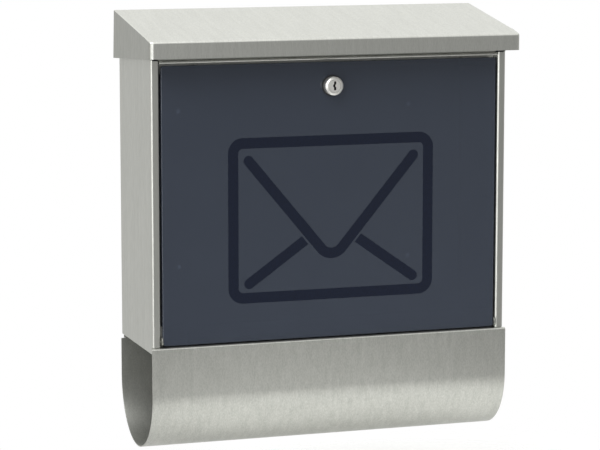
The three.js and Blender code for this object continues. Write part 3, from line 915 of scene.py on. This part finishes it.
tip, vertex, bend = (89.5, 45.0), -62.0, 14.0  # end of an arm, where the arms' lines meet, radius
rise = Vector((tip[0], tip[1] - vertex)).normalized()
arm_angle = Vector((1, 0)).angle(rise)
arm_length = Vector((tip[0], tip[1] - vertex)).length
turn = radians(180) - 2 * (radians(90) - arm_angle)
setback = bend * tan(turn / 2)

flap = flat("envelope_flap", (-(arm_length + setback) / 2, vertex), (arm_length - setback, stroke))
swing(-arm_angle, 0, vertex)
choose("EDGE", lambda p, e: near(p.x, -setback * rise.x, 0.3) and near(p.z, vertex + setback * rise.y, 0.3))
bend_centre = (0, ink_y, vertex + bend / sin(radians(90) - arm_angle))
bpy.ops.mesh.spin(steps=20, angle=turn, center=mm(*bend_centre), axis=(0, 1, 0))
choose("EDGE", lambda p, e: near(p.x, setback * rise.x, 0.3) and near(p.z, vertex + setback * rise.y, 0.3))
extrude(rise.x * (arm_length - setback), 0, rise.y * (arm_length - setback))
round_corners(round_end, lambda p, v: p.z > tip[1] - 10)
ink_film(flap)

fold_end, fold_inner = Vector((-90.0, -84.0)), Vector((-22.0, -36.0))
fold_middle = (fold_end + fold_inner) / 2
lower_fold = flat("envelope_lower_fold_left", fold_middle, ((fold_inner - fold_end).length, stroke))
swing(Vector((1, 0)).angle(fold_inner - fold_end), *fold_middle)
clearance = stroke / 2 + 2.0  # the fold stops this far from the middle of the flap's arm
cut(
    (-clearance * rise.y, 0, vertex - clearance * rise.x), (rise.y, 0, rise.x), clear_outer=True
)
round_corners(round_end, lambda p, v: p.x < fold_end.x + 6)
ink_film(lower_fold)
lower_right = copy_of(lower_fold, "envelope_lower_fold_right")
mirror_over(lower_right)
complete(lower_right, "door", ceramic_ink, arris=0, angle=30)

# %% [markdown]
# ## The lock
# A cam lock sits in the glass. Its head is a nickel plated disc whose face slopes away to the rim, and
# the plug in the middle turns with the key. Head and barrel are one turned shape. It could be a profile
# that is spun, but a cylinder needs fewer steps: inset and extrude make its steps, and bridging its two
# end loops makes the bore.

# %% Lock head and barrel
head_radius, barrel_radius, bore_radius = 9.25, 8.0, 6.3
head_back = -120.9
slope_width, slope_drop = 1.9, 1.7
housing = turned("lock_head_and_barrel", head_radius, lock_low.y, head_back, sides=96)
back_face = lambda p, f: f.normal.y > 0.9
front_face = lambda p, f: f.normal.y < -0.9
choose("FACE", back_face)
bpy.ops.mesh.inset(thickness=(head_radius - barrel_radius) * MM)
extrude(0, lock_high.y - head_back, 0)
bpy.ops.mesh.inset(thickness=(barrel_radius - bore_radius) * MM)
bpy.ops.mesh.delete(type="FACE")
choose("FACE", front_face)
bpy.ops.mesh.inset(thickness=slope_width * MM)
bpy.ops.mesh.inset(thickness=(head_radius - slope_width - bore_radius) * MM)
bpy.ops.mesh.delete(type="FACE")
choose("EDGE", lambda p, e: e.is_boundary)
bpy.ops.mesh.bridge_edge_loops()


def radius_of(place):
    """Distance from the lock's axis."""
    return (place.x**2 + (place.z - lock_z) ** 2) ** 0.5


rim_y = lock_low.y + slope_drop
choose("VERT", lambda p, v: near(p.y, lock_low.y) and radius_of(p) > head_radius - 0.25)
bpy.ops.transform.translate(value=mm(0, slope_drop, 0))
choose("EDGE", lambda p, e: near(p.y, rim_y) or (near(p.y, lock_low.y) and radius_of(p) > 7))
bpy.ops.mesh.bevel(offset=0.35 * MM, segments=4, affect="EDGES")
outward()
leave()
complete(housing, "door", nickel_plate, "lock_housing", arris=0.08)

# %% [markdown]
# The plug is a second cylinder, cut by a tool of the keyway's shape. The tool's outline steps to one
# side and back, so the walls have ribs that keep other keys out. The walls inside take the near-black
# graphite finish, which is also painted shade of the slot. A square tail, bored for the screw, carries the
# cam.

# %% Lock plug
plug_low = box_mm("lock_plug")[0]
plug_radius, plug_back = 6.0, -108.7
tail_side, tail_from, tail_to, screw_hole = 6.0, -109.7, -106.7, 1.8
plug = turned("lock_plug_with_keyway", plug_radius, plug_low.y, plug_back, sides=72)
choose("FACE", front_face)
bpy.ops.mesh.bevel(offset=0.3 * MM, segments=3, affect="EDGES")
leave()
tail = begin(
    "cube", "plug_tail", size=mm(tail_side, tail_to - tail_from, tail_side),
    location=mm(0, (tail_from + tail_to) / 2, lock_z),
)
leave()
subtract(plug, tail, "UNION")
tail_bore = turned("tail_drill", screw_hole, -111.5, -105.5, sides=24)
leave()
subtract(plug, tail_bore)
keyway_depth = 11.0
keyway = begin(
    "plane", "key_cutter", size=mm(2.2, 2.9, 1), location=mm(0.3, plug_low.y - 1, lock_z + 3.3),
    rotation=along_y,
)
for step_x, step_z in ((-0.9, -0.5), (0, -1.9), (0.9, -0.5), (0, -2.9)):
    lowest = min(v.co.z for v in bmesh.from_edit_mesh(keyway.data).verts) / MM
    choose("EDGE", lambda p, e: near(p.z, lowest, 0.02))
    extrude(step_x, 0, step_z)
bpy.ops.mesh.select_all(action="SELECT")
extrude(0, keyway_depth + 1, 0)
outward()
leave()
subtract(plug, keyway)
complete(plug, "lock_core", nickel_plate, "lock_plug", arris=0.06)
plug.data.materials.append(keyway_graphite_and_shade)
for face in plug.data.polygons:
    middle = face.center / MM
    deep = plug_low.y + 0.4 < middle.y < plug_low.y + keyway_depth + 0.1
    if deep and radius_of(middle) < plug_radius - 0.4 and abs(middle.x) < 3:
        face.material_index = 1
print("keyway faces:", sum(face.material_index for face in plug.data.polygons))

# %% [markdown]
# ## Rings, washers and seals
# A ring starts as an open tube, which Solidify gives a wall. The same few lines make the rubber seal
# behind the lock's head and the steel washer behind the glass.

# %% Rings
ring_radius, ring_width = 10.5, 2.2


def ring(name, node_name):
    """A flat ring on the lock's axis, as thick as the model's node."""
    low, high = box_mm(node_name)
    made = turned(name, ring_radius, low.y, high.y, end_fill_type="NOTHING")
    leave()
    modify(made, "SOLIDIFY", thickness=ring_width * MM, offset=-1.0, use_even_offset=True)
    return made


seal = ring("lock_rubber_seal", "lock_seal")
complete(seal, "door", epdm_rubber, "lock_seal", arris=0.2)
washer = ring("lock_steel_washer", "lock_washer")
complete(washer, "door", zinc_plated, "lock_washer")

# %% [markdown]
# ## Nut, cam and screw
# Behind the glass a hexagon nut clamps the lock. It is a six sided cylinder, and what it shares with a
# chamfered round one takes off its corners, as a lathe does. The cam is a flat bar with round corners,
# cut with a square hole for the plug's tail, and a cross head screw holds it. When the key turns, the
# cam swings up behind the top rail.

# %% Nut, cam and screw
nut_low, nut_high = box_mm("lock_nut")
across_flats, nut_corner_radius = 22.0, 12.6
lock_nut = turned("lock_hex_nut", across_flats / 2 / cos(radians(30)), nut_low.y, nut_high.y, sides=6)
leave()
chamfer = turned("nut_chamfer", nut_corner_radius, nut_low.y, nut_high.y, sides=72)
choose("FACE", lambda p, f: abs(f.normal.y) > 0.9)
bpy.ops.mesh.bevel(offset=1.2 * MM, segments=1, affect="EDGES")
leave()
subtract(lock_nut, chamfer, "INTERSECT")
nut_bore = turned("nut_drill", lock_hole, nut_low.y - 10, nut_low.y + 10)
leave()
subtract(lock_nut, nut_bore)
complete(lock_nut, "door", zinc_plated, "lock_nut")

cam_low, cam_high = box_mm("lock_cam")
cam_middle = (cam_low + cam_high) / 2
cam = begin("cube", "lock_cam_bar", size=(cam_high - cam_low) * MM, location=cam_middle * MM)
round_edges(6, 8, lambda p, e: not near(p.x, cam_middle.x) and not near(p.z, lock_z))
leave()
square_side = tail_side + 0.6
square = begin(
    "cube", "cam_square", size=mm(square_side, 20, square_side), location=mm(0, cam_low.y, lock_z)
)
leave()
subtract(cam, square)
complete(cam, "lock_core", zinc_plated, "lock_cam", arris=0.2)

screw_low, screw_high = box_mm("cam_screw")
screw_radius, shank_radius, head_from = 4.5, 1.5, -106.1
screw = turned("cam_cross_screw", screw_radius, head_from, screw_high.y, sides=48)
choose("FACE", back_face)
bpy.ops.mesh.bevel(offset=1.3 * MM, segments=6, affect="EDGES")
choose("FACE", front_face)
bpy.ops.mesh.inset(thickness=(screw_radius - shank_radius) * MM)
extrude(0, screw_low.y - head_from, 0)
leave()
for name, size in (("cross_upright", mm(1, 3, 5)), ("cross_level", mm(5, 3, 1))):
    blade = begin("cube", name, size=size, location=mm(0, screw_high.y, lock_z))
    leave()
    subtract(screw, blade)
complete(screw, "lock_core", zinc_plated, "cam_screw", arris=0.06)

# %% [markdown]
# ## Rubber buffers
# Small studs of rubber stop the lid and the glass from ringing on the steel. A moulded stud has no sharp
# edge, so each is a short cylinder whose two ends are bevelled round.

# %% Buffers
def buffer(node_name, name, along, rotation):
    """A rubber stud along Y or Z, as long as the model's node."""
    low, high = box_mm(node_name)
    stud = begin(
        "cylinder", name, vertices=48, radius=4 * MM, depth=getattr(high - low, along) * MM,
        location=(low + high) / 2 * MM, rotation=rotation,
    )
    choose("FACE", lambda p, f: abs(getattr(f.normal, along)) > 0.9)
    bpy.ops.mesh.bevel(offset=0.7 * MM, segments=5, affect="EDGES")
    leave()
    complete(stud, "casing", epdm_rubber, node_name, arris=0)


for word in ("left", "right"):
    buffer(f"lid_bumper_{word}", f"lid_buffer_{word}", "z", (0, 0, 0))
    buffer(f"door_bumper_{word}", f"door_buffer_{word}", "y", along_y)

# %% [markdown]
# ## Parts that keep the model's shape
# The back panel, the floor, the slot plate, the hinge and the door's pivots have the right shape
# already, so modelling them again would gain nothing. The model's mesh is loose triangles, though, and
# its edges are razor sharp. Each is copied, its triangles are merged into larger faces, and its edges
# are broken as a belt or a tumbler would.

# %% Refined copies
def refined(node_name, name, body, material, arris=0.12):
    """A copy of one of the model's nodes, merged into whole faces, with its edges broken."""
    piece = copy_of(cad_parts[node_name], name)
    piece.parent = None
    for key in list(piece.keys()):
        del piece[key]
    pick(piece)
    bpy.ops.object.mode_set(mode="EDIT")
    bpy.ops.mesh.select_all(action="SELECT")
    bpy.ops.mesh.remove_doubles(threshold=0.005 * MM)
    bpy.ops.mesh.dissolve_limited(angle_limit=radians(1))
    leave()
    complete(piece, body, material, node_name, arris=arris)


refined("back_panel", "inner_back_panel", "casing", mill_finish)
refined("compartment_floor", "inner_floor", "casing", mill_finish)
refined("slot_plate", "letter_slot_plate", "casing", mill_finish)
refined("body_hinge_leaf", "hinge_leaf_on_casing", "casing", drawn_hinge, arris=0.08)
refined("lid_hinge_leaf", "hinge_leaf_on_lid", "lid", drawn_hinge, arris=0.08)
refined("lid_hinge_pin", "hinge_pin", "casing", drawn_hinge, arris=0.2)
for word in ("left", "right"):
    refined(f"door_pivot_{word}", f"door_pivot_bracket_{word}", "door", drawn_hinge)
for place in ("upper_left", "upper_right", "lower_left", "lower_right"):
    refined(f"fixing_seal_{place}", f"screw_seal_{place}", "casing", epdm_rubber)
